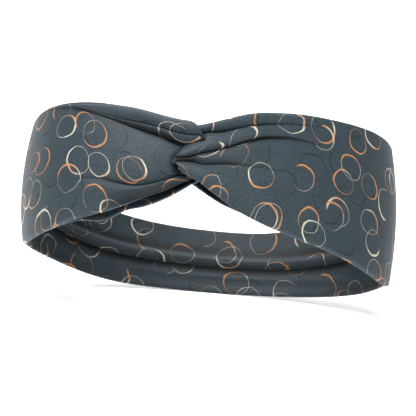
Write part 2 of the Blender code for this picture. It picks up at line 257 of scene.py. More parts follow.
def place_on_band(angle, height, inset):
    """World points of places on the band. The plan curve is moved in by the inset and by the
    long edges' lean, then the loop is sloped about the sideways axis."""
    x, depth = plan_curve(angle)
    inward_x, inward_depth = inward_direction(angle)
    top, bottom = top_edge(angle), bottom_edge(angle)
    from_middle = np.clip((height - 0.5 * (top + bottom)) / (0.5 * (top - bottom)), -1.2, 1.2)
    curl = EDGE_CURL * np.abs(np.sin(angle)) ** EDGE_CURL_POWER * from_middle ** 2
    x = x + inward_x * (inset + curl)
    depth = depth + inward_depth * (inset + curl)
    y = depth * math.cos(WORN_SLOPE) + height * math.sin(WORN_SLOPE)
    z = -depth * math.sin(WORN_SLOPE) + height * math.cos(WORN_SLOPE)
    return np.stack([x, y, z], axis=-1)


def ease(t):
    """Smooth step: 3 t squared less 2 t cubed, level at 0 and 1."""
    t = np.clip(t, 0.0, 1.0)
    return t * t * (3.0 - 2.0 * t)


def fold_line(out, line):
    """A line of (out, value) rows in millimetres, read at out in metres, in metres."""
    rows = np.array(line, float)
    return smooth_line(np.asarray(out) / MM, rows[:, 0], rows[:, 1]) * MM


def bell(x, middle, spread, height):
    """A bell curve: the height times e to the minus square of the distance in spreads."""
    return height * np.exp(-((x - middle) / spread) ** 2)


def angle_off_front(angle):
    """The angle from the knot, the same on both sides, from 0 to a half turn."""
    return np.abs(np.remainder(angle + math.pi, 2.0 * math.pi) - math.pi)


def upper_flap_edge(angle):
    """Height of the upper flap's free edge, which laps over the lower flap."""
    top, bottom = top_edge(angle), bottom_edge(angle)
    return top - UPPER_FLAP_SHARE * (top - bottom)


# ---------------------------------------------------------------- a strap's rolls

STRAPS = {
    "left": {
        "side": -1.0,
        "bottom": LEFT_BOTTOM,
        "valleys": (LEFT_LOW_VALLEY, LEFT_HIGH_VALLEY, LEFT_TOP_VALLEY),
        "columns": (16, 24, 9, 15),
        # how deep each fold line lies: bottom edge, the valleys from below, top edge
        "depths": (((-2, 5.4), (3, 5.2), (9, 4.2), (16, 3.4), (30, 1.8), (45, 0.7), (60, 0)),
                   ((-2, 5.6), (4, 5.2), (9, 4.8), (14, 4.2), (25, 3.2), (36, 2.2), (48, 0.9),
                    (64, 0)),
                   ((-3, 1.4), (4, 2.6), (10, 2.8), (20, 2.2), (40, 0.9), (64, 0.2), (100, 0)),
                   ((-3, -1.6), (4, -1.2), (10, -0.7), (20, 0.2), (35, 0.5), (50, 0.2), (64, 0)),
                   ((-3, -1.0), (10, -0.8), (30, -0.2), (60, 0))),
        # how far each roll stands out, from below
        "rolls": (((-2, 2.0), (4, 2.4), (12, 3.4), (25, 3.8), (45, 2.2), (60, 0.8), (80, 0)),
                  ((-2, 1.4), (8, 2.4), (15, 3.2), (34, 2.4), (50, 1.2), (64, 0.8), (120, 0)),
                  ((-5, 2.4), (0, 2.6), (10, 2.6), (20, 2.0), (35, 0.9), (50, 0.3), (64, 0)),
                  ((-5, 3.4), (0, 3.8), (10, 3.8), (30, 2.6), (45, 1.5), (64, 0.9), (110, 0))),
        # where each roll's crest lies, as a share of the way up it
        "crests": (0.68, 0.50, 0.50, 0.46),
        # out at which the cloth turns away into the knot, by share of the columns
        "turn": ((0, -1.0), (0.25, 1.5), (0.42, 4.5), (0.56, 2.0), (0.63, -0.8),
                 (0.70, -1.9), (0.80, -2.4), (0.87, -1.4), (0.93, 0.8), (1, 4.6)),
        "turn_radius": 0.0026,
        "turn_to": (-0.0010, 0.45),    # height that the turned cloth draws to, and how far
        # each roll's power: low where the folds are tight, high where they run out
        "sharpness": ((0, 0.50), (16, 0.55), (34, 0.75), (50, 1.00), (75, 1.60)),
    },
    "right": {
        "side": 1.0,
        "bottom": RIGHT_BOTTOM,
        "valleys": (RIGHT_LOW_VALLEY, RIGHT_MIDDLE_VALLEY, RIGHT_HIGH_VALLEY),
        "columns": (20, 12, 18, 14),
        "depths": (((-6, -1.2), (10, -0.8), (25, 0), (60, 0)),
                   ((-8, -0.8), (0, 0.2), (10, 0.9), (22, 0.9), (36, 0.2), (50, 0)),
                   ((-7, -0.6), (0, 0.8), (10, 1.8), (22, 1.9), (36, 1.4), (50, 0.5), (70, 0)),
                   ((-6, 3.5), (5, 3.6), (15, 3.0), (30, 1.6), (45, 0.5), (60, 0)),
                   ((-5, 4.5), (4, 3.5), (12, 2.0), (25, 0.5), (45, 0))),
        "rolls": (((-8, 1.8), (0, 2.7), (10, 3.2), (25, 2.4), (45, 1.1), (90, 0)),
                  ((-8, 0.8), (0, 1.8), (10, 2.8), (22, 2.3), (35, 1.1), (60, 0)),
                  ((-6, 3.0), (0, 4.2), (13, 4.4), (30, 2.9), (45, 1.5), (75, 0)),
                  ((-5, 2.2), (10, 3.2), (30, 2.2), (50, 0.8), (75, 0))),
        "crests": (0.50, 0.56, 0.32, 0.50),
        "turn": ((0, -3.0), (0.12, -4.8), (0.25, -6.2), (0.36, -6.9), (0.48, -6.6),
                 (0.60, -4.6), (0.72, -2.4), (0.80, -2.0), (1, -2.0)),
        "turn_radius": 0.0018,
        "turn_to": (-0.0020, 0.55),
        "sharpness": ((0, 0.50), (20, 0.52), (32, 0.66), (46, 0.95), (65, 1.60)),
    },
}


def row_lengths(length, rows, gather_rows, spread):
    """Distances of a strap's rows from its turn: even over the gathers up to PANEL_START,
    then by a power of the share of the way that is left."""
    near = np.linspace(0.0, PANEL_START, gather_rows + 1)
    far = np.linspace(0.0, 1.0, rows - gather_rows)[1:] ** spread
    return np.concatenate([near, PANEL_START + (length - PANEL_START) * far])[:, None]


def rows_from_turn(length, line, share, turn_end, turn_rows, radius):
    """Out, held out and angle turned of a strap's rows, from inside the knot outwards.

    A row's out is its distance from the turn plus the turn's own out, which fades over
    TURN_FADE. Past the turn, out goes on by the radius times the sine of the angle turned.
    The held out stops at the turn, and the folds' own lines are read there."""
    turn = smooth_line(share, *np.array(line, float).T)[None, :] * MM
    swing = np.linspace(turn_end * math.pi, 0.0, turn_rows + 1)[:-1][:, None]
    out = np.concatenate([turn - radius * np.sin(swing),
                          length + turn * (1.0 - ease(length / TURN_FADE))])
    turned = np.concatenate([np.ones_like(turn) * swing, np.zeros((len(length), len(share)))])
    return out, np.maximum(out, turn), turned


def strap_face(name):
    """Angle, height, inset and sharpness of one strap's outer face, rows from the knot to
    the side.

    A roll stands out by its amount times (1 - t squared) to the fold's sharpness, t running
    from -1 to 1 across it. In the turn the inset grows by the radius times one less the
    cosine of the angle turned."""
    strap = STRAPS[name]
    length = row_lengths(STRAP_LENGTH, STRAP_ROWS, GATHER_ROWS, ROW_SPREAD)
    share = np.linspace(0.0, 1.0, FACE_COLUMNS + 1)
    out, held, turned = rows_from_turn(length, strap["turn"], share, TURN_END, TURN_ROWS,
                                       strap["turn_radius"])
    angle = strap["side"] * out / LOOP_HALF_WIDTH
    held_angle = strap["side"] * held / LOOP_HALF_WIDTH
    near_knot = 1.0 - ease((held - FOLDS_END) / FOLDS_FADE)
    bottom = outer_bottom_edge(held_angle)
    bottom = bottom + (fold_line(held, strap["bottom"]) - bottom) * near_knot
    top = top_edge(held_angle)
    sharp = fold_line(held, strap["sharpness"]) / MM
    tuck = LIP_RADIUS * (1.0 - np.clip((1.0 - sharp) / 0.5, 0.0, 1.0))
    lines = [bottom + tuck, *(fold_line(held, valley) for valley in strap["valleys"]), top - tuck]
    height, inset = np.zeros_like(out), np.zeros_like(out)
    first = 0
    for i, count in enumerate(strap["columns"]):
        cols = slice(first, first + count + 1)
        part = 0.5 * (1.0 - np.cos(np.linspace(0.0, math.pi, count + 1)))[None, :]
        low, high = lines[i][:, cols], lines[i + 1][:, cols]
        skew = math.log(0.5) / math.log(strap["crests"][i])
        roll = np.clip(1.0 - (2.0 * part ** skew - 1.0) ** 2, 0.0, 1.0) ** sharp[:, cols]
        base = (fold_line(held[:, cols], strap["depths"][i]) * (1.0 - part)
                + fold_line(held[:, cols], strap["depths"][i + 1]) * part)
        height[:, cols] = low + (high - low) * part
        inset[:, cols] = base - roll * fold_line(held[:, cols], strap["rolls"][i])
        first += count
    inset = inset + strap["turn_radius"] * (1.0 - np.cos(turned))
    drawn_to, drawn = strap["turn_to"]
    height = height + (drawn_to - height) * drawn * 0.5 * (1.0 - np.cos(turned))
    return angle, height, inset, sharp


def back_face():
    """Angle, height, inset and sharpness of the back's outer face, rows from the -X side to
    the +X side. Its columns change evenly from the left strap's shares to the right's."""
    turn = np.linspace(0.0, 1.0, BACK_ROWS + 1)[:, None]
    shares = []
    for name in ("left", "right"):
        end = strap_face(name)[1][-1]
        shares.append((end - end[0]) / (end[-1] - end[0]))
    share = shares[0] + (shares[1] - shares[0]) * ease(turn)
    angle = (-SIDE - 2.0 * SIDE * turn) * np.ones_like(share)
    low, high = bottom_edge(angle) + LIP_RADIUS, top_edge(angle) - LIP_RADIUS
    height = low + (high - low) * share
    return angle, height, np.zeros_like(height), SOFT_SHARPNESS * np.ones_like(height)


def folded_edge(angle, height, inset, sharp, top):
    """The fold and the flap that follow a face's long edge, as angle, height and inset.

    The fold turns from the face's own direction at the edge to straight back, on a circle.
    The flap runs on inside: a short lip on the straps, the full flap round the back, where
    the upper one stands proud in a roll and drops at its free edge, and the lower one has a
    soft ripple. Roll, drop and ripple are bell curves of the distance along the flap."""
    column, sign = (-1, 1.0) if top else (0, -1.0)
    a, h, i, s = (grid[:, column][:, None] for grid in (angle, height, inset, sharp))
    opened = ease((angle_off_front(a) - FLAP_START[0]) / (FLAP_START[1] - FLAP_START[0]))
    radius = LIP_RADIUS + (BACK_TOP_RADIUS - LIP_RADIUS) * opened * (1.0 if top else 0.0)
    begin = 0.5 * math.pi * np.clip((1.0 - s) / 0.5, 0.0, 1.0)
    turned = begin + (math.pi - begin) * np.linspace(0.0, 1.0, FOLD_STEPS + 1)[None, 1:]
    fold_height = h + sign * LIP_RADIUS * (np.sin(turned) - np.sin(begin))
    fold_inset = i + radius * (np.cos(begin) - np.cos(turned))
    end_height, end_inset = fold_height[:, -1:], fold_inset[:, -1:]
    free = upper_flap_edge(a) if top else upper_flap_edge(a) + FLAP_LAP
    length = LIP_LENGTH + (np.abs(end_height - free) - LIP_LENGTH) * opened
    part = np.linspace(0.0, 1.0, FLAP_STEPS + 1)[None, 1:]
    if top:
        part = 1.0 - (1.0 - part) ** FREE_EDGE_CROWDING
        from_free = length * (1.0 - part)
        proud = bell(from_free, *UPPER_ROLL) - bell(from_free, *UPPER_DROP)
    else:
        proud = bell(length * part, *LOWER_RIPPLE)
    fold = (a * np.ones_like(turned), fold_height, fold_inset)
    flap = (a * np.ones_like(part), end_height - sign * length * part, end_inset + opened * proud)
    return [np.concatenate(pair, axis=1) for pair in zip(fold, flap)]


def painted_contact_shadow(out, height, line):
    """Painted shadow on a strap next to the other strap's edge that lies on it, as far as it is
    closed off there: 1 up to the edge, fading to 0 over CONTACT_SHADE, and only within the
    line's own heights."""
    low, high = line[0][0] * MM, line[-1][0] * MM
    within = ease((height - low) / HEIGHT_FADE + 0.5) * ease((high - height) / HEIGHT_FADE + 0.5)
    return within * ease(1.0 - (out - fold_line(height, line)) / CONTACT_SHADE)


def painted_inside_shade(angle):
    """Painted shade on the inside at an angle, as far as it is closed off from the light: most at
    the sides, where the band turns sharply."""
    return ENCLOSED + bell(angle_off_front(angle), *ENCLOSED_AT_SIDES)


def painted_knot_shade(name, angle, height):
    """Painted shade on a strap's face, rows from the knot outwards, as far as it is closed off
    from the light: beside the strap that lies on it, in its turn, and on the left strap's lowest
    roll, which turns under."""
    line = {"left": RIGHT_OVER_LEFT, "right": LEFT_OVER_RIGHT}[name]
    out = STRAPS[name]["side"] * angle * LOOP_HALF_WIDTH
    closed = BESIDE_DARK * painted_contact_shadow(out, height, line)
    if name == "left":
        column = np.arange(FACE_COLUMNS + 1)[None, :]
        painted_low_roll_shade = (np.clip((LOW_ROLL_COLUMNS - column) / LOW_ROLL_FADE, 0.0, 1.0)
                    * (1.0 - ease((out - PANEL_START) / LOW_ROLL_END)))
        closed = np.maximum(closed, UNDER_DARK * painted_low_roll_shade)
    swing = np.linspace(TURN_END, 0.0, TURN_ROWS + 1)[:-1][:, None]
    painted_turn_shade = TURNED_DARK * ease((swing - HIDDEN_FROM) / HIDDEN_FADE)
    closed[:TURN_ROWS] = np.maximum(closed[:TURN_ROWS], painted_turn_shade)
    return closed


def whole_band():
    """The band's visible side as one grid: rows from the left strap's end round the back to
    the right strap's end, columns from the lower flap over the face to the upper flap.
    Also the painted shade and highlight on it, and the rows at which the pieces part."""
    left, right, back = strap_face("left"), strap_face("right"), back_face()
    angle, height, inset, sharp = (np.concatenate([left[k], back[k][1:-1], right[k][::-1]])
                                   for k in range(4))
    low = folded_edge(angle, height, inset, sharp, False)
    high = folded_edge(angle, height, inset, sharp, True)
    angle, height, inset = (np.concatenate([low[k][:, ::-1], grid, high[k]], axis=1)
                            for k, grid in enumerate((angle, height, inset)))
    face = place_on_band(angle, height, inset)

    # painted shade in the folds' hollows and painted highlight on their crests
    painted_shading = painted_shading_of(face)
    start, strap_rows = FLAP_STEPS + FOLD_STEPS, len(left[0])
    front = slice(start, start + FACE_COLUMNS + 1)
    for name, strap in (("left", slice(0, strap_rows - 1)),
                        ("right", slice(None, -strap_rows - 1, -1))):
        closed = painted_knot_shade(name, angle[strap, front], height[strap, front])
        painted_shading[strap, front] = np.maximum(painted_shading[strap, front], closed)
    # painted shade inside the loop, on the flaps and their folds
    inner = FLAP_STEPS + FOLD_STEPS // 2
    for inside in (slice(0, inner), slice(face.shape[1] - inner, None)):
        painted_shading[:, inside] = np.maximum(painted_shading[:, inside], painted_inside_shade(angle[:, inside]))
    # painted shadow on the lower flap below the upper flap's free edge
    a, h = angle[:, :inner], height[:, :inner]
    painted_flap_shadow = np.clip(1.0 - (upper_flap_edge(a) - h - FLAP_SHADE) / FLAP_SHADE_FADE, 0.0, 1.0)
    painted_flap_shadow = painted_flap_shadow * ease((angle_off_front(a) - FLAP_START[0]) / FLAP_SHADE_TURN)
    painted_shading[:, :inner] = np.maximum(painted_shading[:, :inner], painted_flap_shadow)

    knot_rows, rows = TURN_ROWS + GATHER_ROWS, len(angle)
    parts = (0, knot_rows, strap_rows - 1, rows - strap_rows, rows - 1 - knot_rows, rows - 1)
    return face, painted_shading, parts


# ---------------------------------------------------------------- cloth from a grid

def grid_normals(points, closed):
    """Unit normals of a grid: the cross product of the differences along columns and rows."""
    by_row = np.gradient(points, axis=0)
    if closed:
        by_column = np.roll(points, -1, axis=1) - np.roll(points, 1, axis=1)
    else:
        by_column = np.gradient(points, axis=1)
    normal = np.cross(by_column, by_row)
    return normal / np.maximum(np.linalg.norm(normal, axis=-1, keepdims=True), 1e-12)


def wrap_cloth(face, thickness, outward=1.0):
    """The closed cross-sections of a cloth: its face, a round rim, its back, a round rim.
    The back is the face moved by the thickness against the normal."""
    normal = outward * grid_normals(face, False)
    back = face - normal * thickness
    rims = []
    for column, inner in ((-1, -2), (0, 1)):
        middle = 0.5 * (face[:, column] + back[:, column])
        away = face[:, column] - face[:, inner]
        away = away / np.linalg.norm(away, axis=-1, keepdims=True)
        bend = np.linspace(0.0, math.pi, RIM_STEPS + 2)[1:-1][None, :, None]
        rims.append(middle[:, None] + 0.5 * thickness * (np.cos(bend) * normal[:, column][:, None]
                                                         + np.sin(bend) * away[:, None]))
    return np.concatenate([face, rims[0], back[:, ::-1], rims[1][:, ::-1]], axis=1)


def cloth_measure(face, middle, start=0.0):
    """The cloth's own coordinates in metres: the length along the middle column, and the
    length across from that column."""
    along = np.linalg.norm(np.diff(face[:, middle], axis=0), axis=-1)
    u = start + np.concatenate([[0.0], np.cumsum(along)])
    steps = np.linalg.norm(np.diff(face, axis=1), axis=-1)
    across = np.concatenate([np.zeros((len(face), 1)), np.cumsum(steps, axis=1)], axis=1)
    v = across - across[:, middle][:, None]
    return np.stack([u[:, None] * np.ones_like(v), v], axis=-1)


def painted_shading_of(face, steps=(2, 4, 7, 11)):
    """Painted shade and highlight of a cloth's face at each point, from how hollow it is, 0 to 1.
    The middle of two points a few columns to either side stands out from the point by some
    share of their half distance; shares over HOLLOW_FROM count, up to 1 after HOLLOW_SPAN, and
    the largest is kept. A crest is found the same way from a middle that lies deeper, and gets
    a painted highlight that counts down below 0."""
    normal = grid_normals(face, False)
    painted_shading, painted_highlight = np.zeros(face.shape[:2]), np.zeros(face.shape[:2])
    for step in steps:
        before, after = face[:, :-2 * step], face[:, 2 * step:]
        half = np.maximum(0.5 * np.linalg.norm(after - before, axis=-1), 1e-6)
        proud = np.einsum("ijk,ijk->ij", 0.5 * (before + after) - face[:, step:-step],
                          normal[:, step:-step]) / half
        for grid, share, span in ((painted_shading, proud, HOLLOW_SPAN), (painted_highlight, -proud, CREST_SPAN)):
            middle = grid[:, step:-step]
            np.maximum(middle, np.clip((share - HOLLOW_FROM) / span, 0.0, 1.0), out=middle)
    painted_shading = painted_shading - PAINTED_HIGHLIGHT_SHARE * painted_highlight * (1.0 - painted_shading)
    blurred = painted_shading.copy()
    blurred[:, 1:-1] = 0.25 * painted_shading[:, :-2] + 0.5 * painted_shading[:, 1:-1] + 0.25 * painted_shading[:, 2:]
    return blurred


def wrap_measure(measure, back=None):
    """The same values on the cloth's rims as on its face, and on its back too, unless the
    back has its own."""
    back = measure if back is None else back
    last = np.repeat(measure[:, -1:], RIM_STEPS, axis=1)
    first = np.repeat(back[:, :1], RIM_STEPS, axis=1)
    return np.concatenate([measure, last, back[:, ::-1], first], axis=1)


def ring_quads(rows, sides):
    """The points' numbers in a row of closed rings, and the quads between those rings."""
    index = np.arange(rows * sides).reshape(rows, sides)
    following = np.roll(index, -1, axis=1)
    quads = np.stack([index[:-1], index[1:], following[1:], following[:-1]], axis=-1)
    return index, quads.reshape(-1, 4)


def add_smooth(name, points, faces):
    """A smooth mesh of these points and faces, as an object in the scene."""
    mesh = bpy.data.meshes.new(name)
    mesh.from_pydata(points.tolist(), [], faces)
    mesh.shade_smooth()
    piece = bpy.data.objects.new(name, mesh)
    bpy.context.scene.collection.objects.link(piece)
    return piece


def facing_out(points, quads, faces):
    """The faces, all turned round if the volume inside the quads would be negative."""
    corner = points[np.concatenate([quads[:, [0, 1, 2]], quads[:, [0, 2, 3]]])]
    volume = np.einsum("ij,ij->i", corner[:, 0], np.cross(corner[:, 1], corner[:, 2])).sum()
    return [face[::-1] for face in faces] if volume < 0.0 else faces


def closed_cloth(name, wrapped, measure, painted_shading, normals, face_columns):
    """One closed mesh from rows of closed cross-sections, with both ends filled. It carries
    the cloth's own coordinates and its painted shade and highlight at each point."""
    index, quads = ring_quads(*wrapped.shape[:2])
    faces = quads.tolist()
    back_start = face_columns + RIM_STEPS
    across = np.arange(face_columns - 1)
    behind = back_start + face_columns - 1 - across
    for row, turned in ((0, False), (-1, True)):
        ring = index[row]
        strip = np.stack([ring[across], ring[across + 1], ring[behind - 1], ring[behind]], axis=-1)
        rims = (ring[face_columns - 1:back_start + 1],
                np.append(ring[back_start + face_columns - 1:], ring[0]))
        for face in [*strip.tolist(), *(rim.tolist() for rim in rims)]:
            faces.append(face[::-1] if turned else face)
    points = wrapped.reshape(-1, 3)
    piece = add_smooth(name, points, facing_out(points, quads, faces))
    mesh = piece.data
    corners = np.zeros(len(mesh.loops), np.int32)
    mesh.loops.foreach_get("vertex_index", corners)
    coordinates = measure.reshape(-1, 2)[corners].astype(np.float32)
    mesh.uv_layers.new(name="cloth").uv.foreach_set("vector", coordinates.ravel())
    # the painted shade and highlight, which the jersey takes into its colour
    depth = mesh.attributes.new("painted_shading", "FLOAT", "POINT")
    depth.data.foreach_set("value", painted_shading.astype(np.float32).ravel())
    if normals is not None:
        mesh.normals_split_custom_set_from_vertices(normals.reshape(-1, 3).tolist())
    return piece


def closed_tube(name, path, radius, sides):
    """A closed round tube along a path: each ring lies square to the path's direction, on
    two directions made from it and the upright by cross products."""
    tangent = np.gradient(path, axis=0)
    tangent /= np.linalg.norm(tangent, axis=1, keepdims=True)
    side = np.cross(tangent, (0.0, 0.0, 1.0))
    side /= np.linalg.norm(side, axis=1, keepdims=True)
    up = np.cross(side, tangent)
    spin = np.linspace(0.0, 2.0 * math.pi, sides, endpoint=False)[None, :, None]
    rings = path[:, None] + radius * (np.cos(spin) * side[:, None] + np.sin(spin) * up[:, None])
    index, quads = ring_quads(len(path), sides)
    faces = quads.tolist() + [index[0].tolist(), index[-1][::-1].tolist()]
    points = rings.reshape(-1, 3)
    return add_smooth(name, points, facing_out(points, quads, faces))


# ---------------------------------------------------------------- the printed jersey

RADIANS_ROUND = 6.2832
PAINT_EDGE = 0.00035           # how far the paint bleeds at a stroke's edge
RING_ROOM = 0.0150             # a cell's side less this is what a ring may move in it
PAINTED_SHADING_STRENGTH = 0.93             # painted shade: how much darker the cloth is where the shading attribute is 1
PRINT_LAYERS = (               # seed, cell, turn in degrees, share of cells, strength, bright
    (3.0, 0.0205, 31.0, 0.96, 0.70, False),
    (11.0, 0.0230, 12.0, 0.97, 0.95, True),
    (23.0, 0.0262, -27.0, 0.92, 0.95, True),
)


def feed(tree, socket, value):
    """Feeds an input: by a link from a socket, or with a plain value. None leaves it alone."""
    if isinstance(value, bpy.types.NodeSocket):
        tree.links.new(value, socket)
    elif value is not None:
        socket.default_value = value


def add_node(tree, kind, *feeds, **settings):
    """One node, its first inputs fed in order. A setting that names a property of the node
    sets it, and any other feeds the input of that name."""
    node = tree.nodes.new(kind)
    named = {}
    for key, value in settings.items():
        if hasattr(node, key):
            setattr(node, key, value)
        else:
            named[key] = value
    for key, value in (*enumerate(feeds), *named.items()):
        feed(tree, node.inputs[key], value)
    return node


def math_node(tree, operation, *values, clamp=False):
    """A Math node fed in order with sockets or numbers; gives its output socket."""
    node = add_node(tree, "ShaderNodeMath", *values, operation=operation, use_clamp=clamp)
    return node.outputs[0]


def vector_node(tree, operation, *values):
    """A Vector Math node fed in order with sockets or vectors; gives its output socket."""
    return add_node(tree, "ShaderNodeVectorMath", *values, operation=operation).outputs[0]


def noise_node(tree, vector, scale, detail, **settings):
    """A Noise Texture node; gives its output sockets."""
    return add_node(tree, "ShaderNodeTexNoise", noise_dimensions="3D", Vector=vector,
                    Scale=scale, Detail=detail, **settings).outputs


def mix_colours(tree, factor, first, second):
    """A mix of two colours; gives its output socket."""
    node = add_node(tree, "ShaderNodeMix", factor, data_type="RGBA")
    feed(tree, node.inputs[6], first)
    feed(tree, node.inputs[7], second)
    return node.outputs[2]


def lay_out(tree):
    """Puts the nodes in columns, each one to the right of all the nodes that feed it."""
    column = {node.name: 0 for node in tree.nodes}
    for _ in range(len(column)):
        for link in tree.links:
            ahead = column[link.from_node.name] + 1
            column[link.to_node.name] = max(column[link.to_node.name], ahead)
    filled = {}
    for node in tree.nodes:
        across = column[node.name]
        filled[across] = filled.get(across, 0) + 1
        node.location = (220.0 * across, -260.0 * filled[across])


def new_group(name, inputs, outputs):
    """An empty shader node group with its named sockets; gives its tree, its input node's
    sockets and its output node's sockets."""
    tree = bpy.data.node_groups.new(name, "ShaderNodeTree")
    for label, kind, value in inputs:
        socket = tree.interface.new_socket(name=label, in_out="INPUT", socket_type=kind)
        if value is not None:
            socket.default_value = value
    for label, kind in outputs:
        tree.interface.new_socket(name=label, in_out="OUTPUT", socket_type=kind)
    return tree, tree.nodes.new("NodeGroupInput").outputs, tree.nodes.new("NodeGroupOutput").inputs


def brush_ring_group():
    """Rings painted with a round brush, one in each cell of a square grid.

    A cell's random numbers move the ring, change its size and turn its stroke. The mask is 1
    where the distance from the ring's own circle is under half the stroke's width, which
    swells on one side of the ring, and it fades where the brush was lifted."""
    tree, given, result = new_group(
        "Brush rings",
        [("Cloth", "NodeSocketVector", None), ("Cell", "NodeSocketFloat", 0.025),
         ("Radius", "NodeSocketFloat", 0.0068), ("Stroke", "NodeSocketFloat", 0.00062),
         ("Scatter", "NodeSocketFloat", 0.4), ("Seed", "NodeSocketFloat", 0.0),
         ("Filled cells", "NodeSocketFloat", 0.9),
         ("First colour", "NodeSocketColor", (1, 1, 1, 1)),
         ("Second colour", "NodeSocketColor", (1, 1, 1, 1))],
        [("Mask", "NodeSocketFloat"), ("Colour", "NodeSocketColor")])

    def maths(operation, *values, clamp=False):
        return math_node(tree, operation, *values, clamp=clamp)

    # the cell and the place in it, wobbled so that no ring is quite round
    wobble = noise_node(tree, given["Cloth"], 75.0, 2.0)["Color"]
    wobble = vector_node(tree, "SUBTRACT", wobble, (0.5, 0.5, 0.5))
    wobbled = vector_node(tree, "MULTIPLY_ADD", wobble, (0.0034, 0.0034, 0.0), given["Cloth"])
    square = add_node(tree, "ShaderNodeCombineXYZ", given["Cell"], given["Cell"], 1.0).outputs[0]
    scaled = vector_node(tree, "DIVIDE", wobbled, square)
    corner = vector_node(tree, "FLOOR", scaled)
    inside = vector_node(tree, "SUBTRACT", scaled, corner)
    at = add_node(tree, "ShaderNodeSeparateXYZ", inside).outputs

    # six random numbers for each cell
    number = add_node(tree, "ShaderNodeSeparateXYZ", corner).outputs
    seeded = add_node(tree, "ShaderNodeCombineXYZ", number[0], number[1], given["Seed"]).outputs[0]
    random = []
    for vector in (seeded, vector_node(tree, "ADD", seeded, (17.3, 5.7, 31.1))):
        white = add_node(tree, "ShaderNodeTexWhiteNoise", noise_dimensions="3D", Vector=vector)
        random.extend(add_node(tree, "ShaderNodeSeparateXYZ", white.outputs["Color"]).outputs)

    # the distance from the ring's circle, which is up to a tenth wider or slimmer than round
    across = []
    for k in (0, 1):
        jitter = maths("MULTIPLY", maths("SUBTRACT", random[k], 0.5), given["Scatter"])
        offset = maths("SUBTRACT", maths("SUBTRACT", at[k], 0.5), jitter)
        across.append(maths("MULTIPLY", offset, given["Cell"]))
    slim = maths("MULTIPLY_ADD", random[3], 0.20, 0.90)
    stretched = maths("DIVIDE", across[1], slim)
    distance = maths("SQRT", maths("ADD", maths("MULTIPLY", across[0], across[0]),
                                   maths("MULTIPLY", stretched, stretched)))
    size = maths("MULTIPLY_ADD", random[2], 0.22, 0.89)
    radius = maths("MULTIPLY", size, given["Radius"])
    off_circle = maths("ABSOLUTE", maths("SUBTRACT", distance, radius))

    # the stroke's width: swollen on one side, and uneven where the brush ran dry
    turned = maths("ARCTAN2", stretched, across[0])
    lead = maths("SUBTRACT", turned, maths("MULTIPLY", random[4], RADIANS_ROUND))
    swell = maths("POWER", maths("MULTIPLY_ADD", maths("COSINE", lead), 0.5, 0.5), 2.0)
    dry = maths("MULTIPLY_ADD", noise_node(tree, given["Cloth"], 420.0, 2.0)["Fac"], 0.7, 0.65)
    width = maths("MULTIPLY", maths("MULTIPLY_ADD", swell, 0.70, 0.36), dry)
    width = maths("MULTIPLY", width, given["Stroke"])
    edge = maths("DIVIDE", maths("SUBTRACT", width, off_circle), PAINT_EDGE, clamp=True)

    # gone where the brush was lifted, and in cells that hold no ring
    lifted = maths("MULTIPLY_ADD", random[5], 4.0, 1.2)
    lift = maths("MULTIPLY_ADD", maths("SINE", lead), 3.2, lifted, clamp=True)
    kept = maths("LESS_THAN", random[2], given["Filled cells"])
    feed(tree, result["Mask"], maths("MULTIPLY", maths("MULTIPLY", edge, lift), kept))

    # mostly one colour or the other, turning softly where a ring holds both
    side = maths("SUBTRACT", lead, maths("MULTIPLY", random[0], 3.0))
    bias = maths("MULTIPLY_ADD", random[1], 4.4, -1.7)
    blend = maths("MULTIPLY_ADD", maths("SINE", side), 1.8, bias, clamp=True)
    feed(tree, result["Colour"],
         mix_colours(tree, blend, given["First colour"], given["Second colour"]))
    lay_out(tree)


def heather_group():
    """Heathered yarn: the ground colour drawn out along the knit in light and dark flecks."""
    tree, given, result = new_group(
        "Heather",
        [("Cloth", "NodeSocketVector", None), ("Ground", "NodeSocketColor", (0.1, 0.1, 0.1, 1)),
         ("Amount", "NodeSocketFloat", 0.5)],
        [("Colour", "NodeSocketColor"), ("Fleck", "NodeSocketFloat")])
    drawn_out = add_node(tree, "ShaderNodeMapping", vector_type="POINT", Vector=given["Cloth"],
                         Scale=(1.0, 0.55, 1.0)).outputs[0]
    fleck = noise_node(tree, drawn_out, 1500.0, 2.0, Roughness=0.7)["Fac"]
    cloud = noise_node(tree, given["Cloth"], 90.0, 3.0)["Fac"]
    flecks = math_node(tree, "MULTIPLY", math_node(tree, "SUBTRACT", fleck, 0.5), 3.0)
    clouds = math_node(tree, "MULTIPLY", math_node(tree, "SUBTRACT", cloud, 0.5), 0.7)
    amount = math_node(tree, "MULTIPLY", math_node(tree, "ADD", flecks, clouds), given["Amount"])
    gain = math_node(tree, "MAXIMUM", math_node(tree, "ADD", amount, 1.0), 0.25)
    feed(tree, result["Colour"], vector_node(tree, "SCALE", given["Ground"], None, None, gain))
    feed(tree, result["Fleck"], fleck)
    lay_out(tree)


def knit_group():
    """Height of a fine knit: wales across the cloth, each crossed by its own slanted loops."""
    tree, given, result = new_group(
        "Knit", [("Cloth", "NodeSocketVector", None), ("Wale", "NodeSocketFloat", 0.0007)],
        [("Height", "NodeSocketFloat")])
    place = add_node(tree, "ShaderNodeSeparateXYZ", given["Cloth"]).outputs
    rate = math_node(tree, "DIVIDE", RADIANS_ROUND, given["Wale"])
    wale = math_node(tree, "COSINE", math_node(tree, "MULTIPLY", place[1], rate))
    along = math_node(tree, "MULTIPLY", place[0], rate)
    slanted = math_node(tree, "MULTIPLY_ADD", math_node(tree, "ABSOLUTE", wale), 1.6, along)
    loops = math_node(tree, "SINE", slanted)
    feed(tree, result["Height"], math_node(tree, "MULTIPLY_ADD", loops, 0.5, wale))
    lay_out(tree)


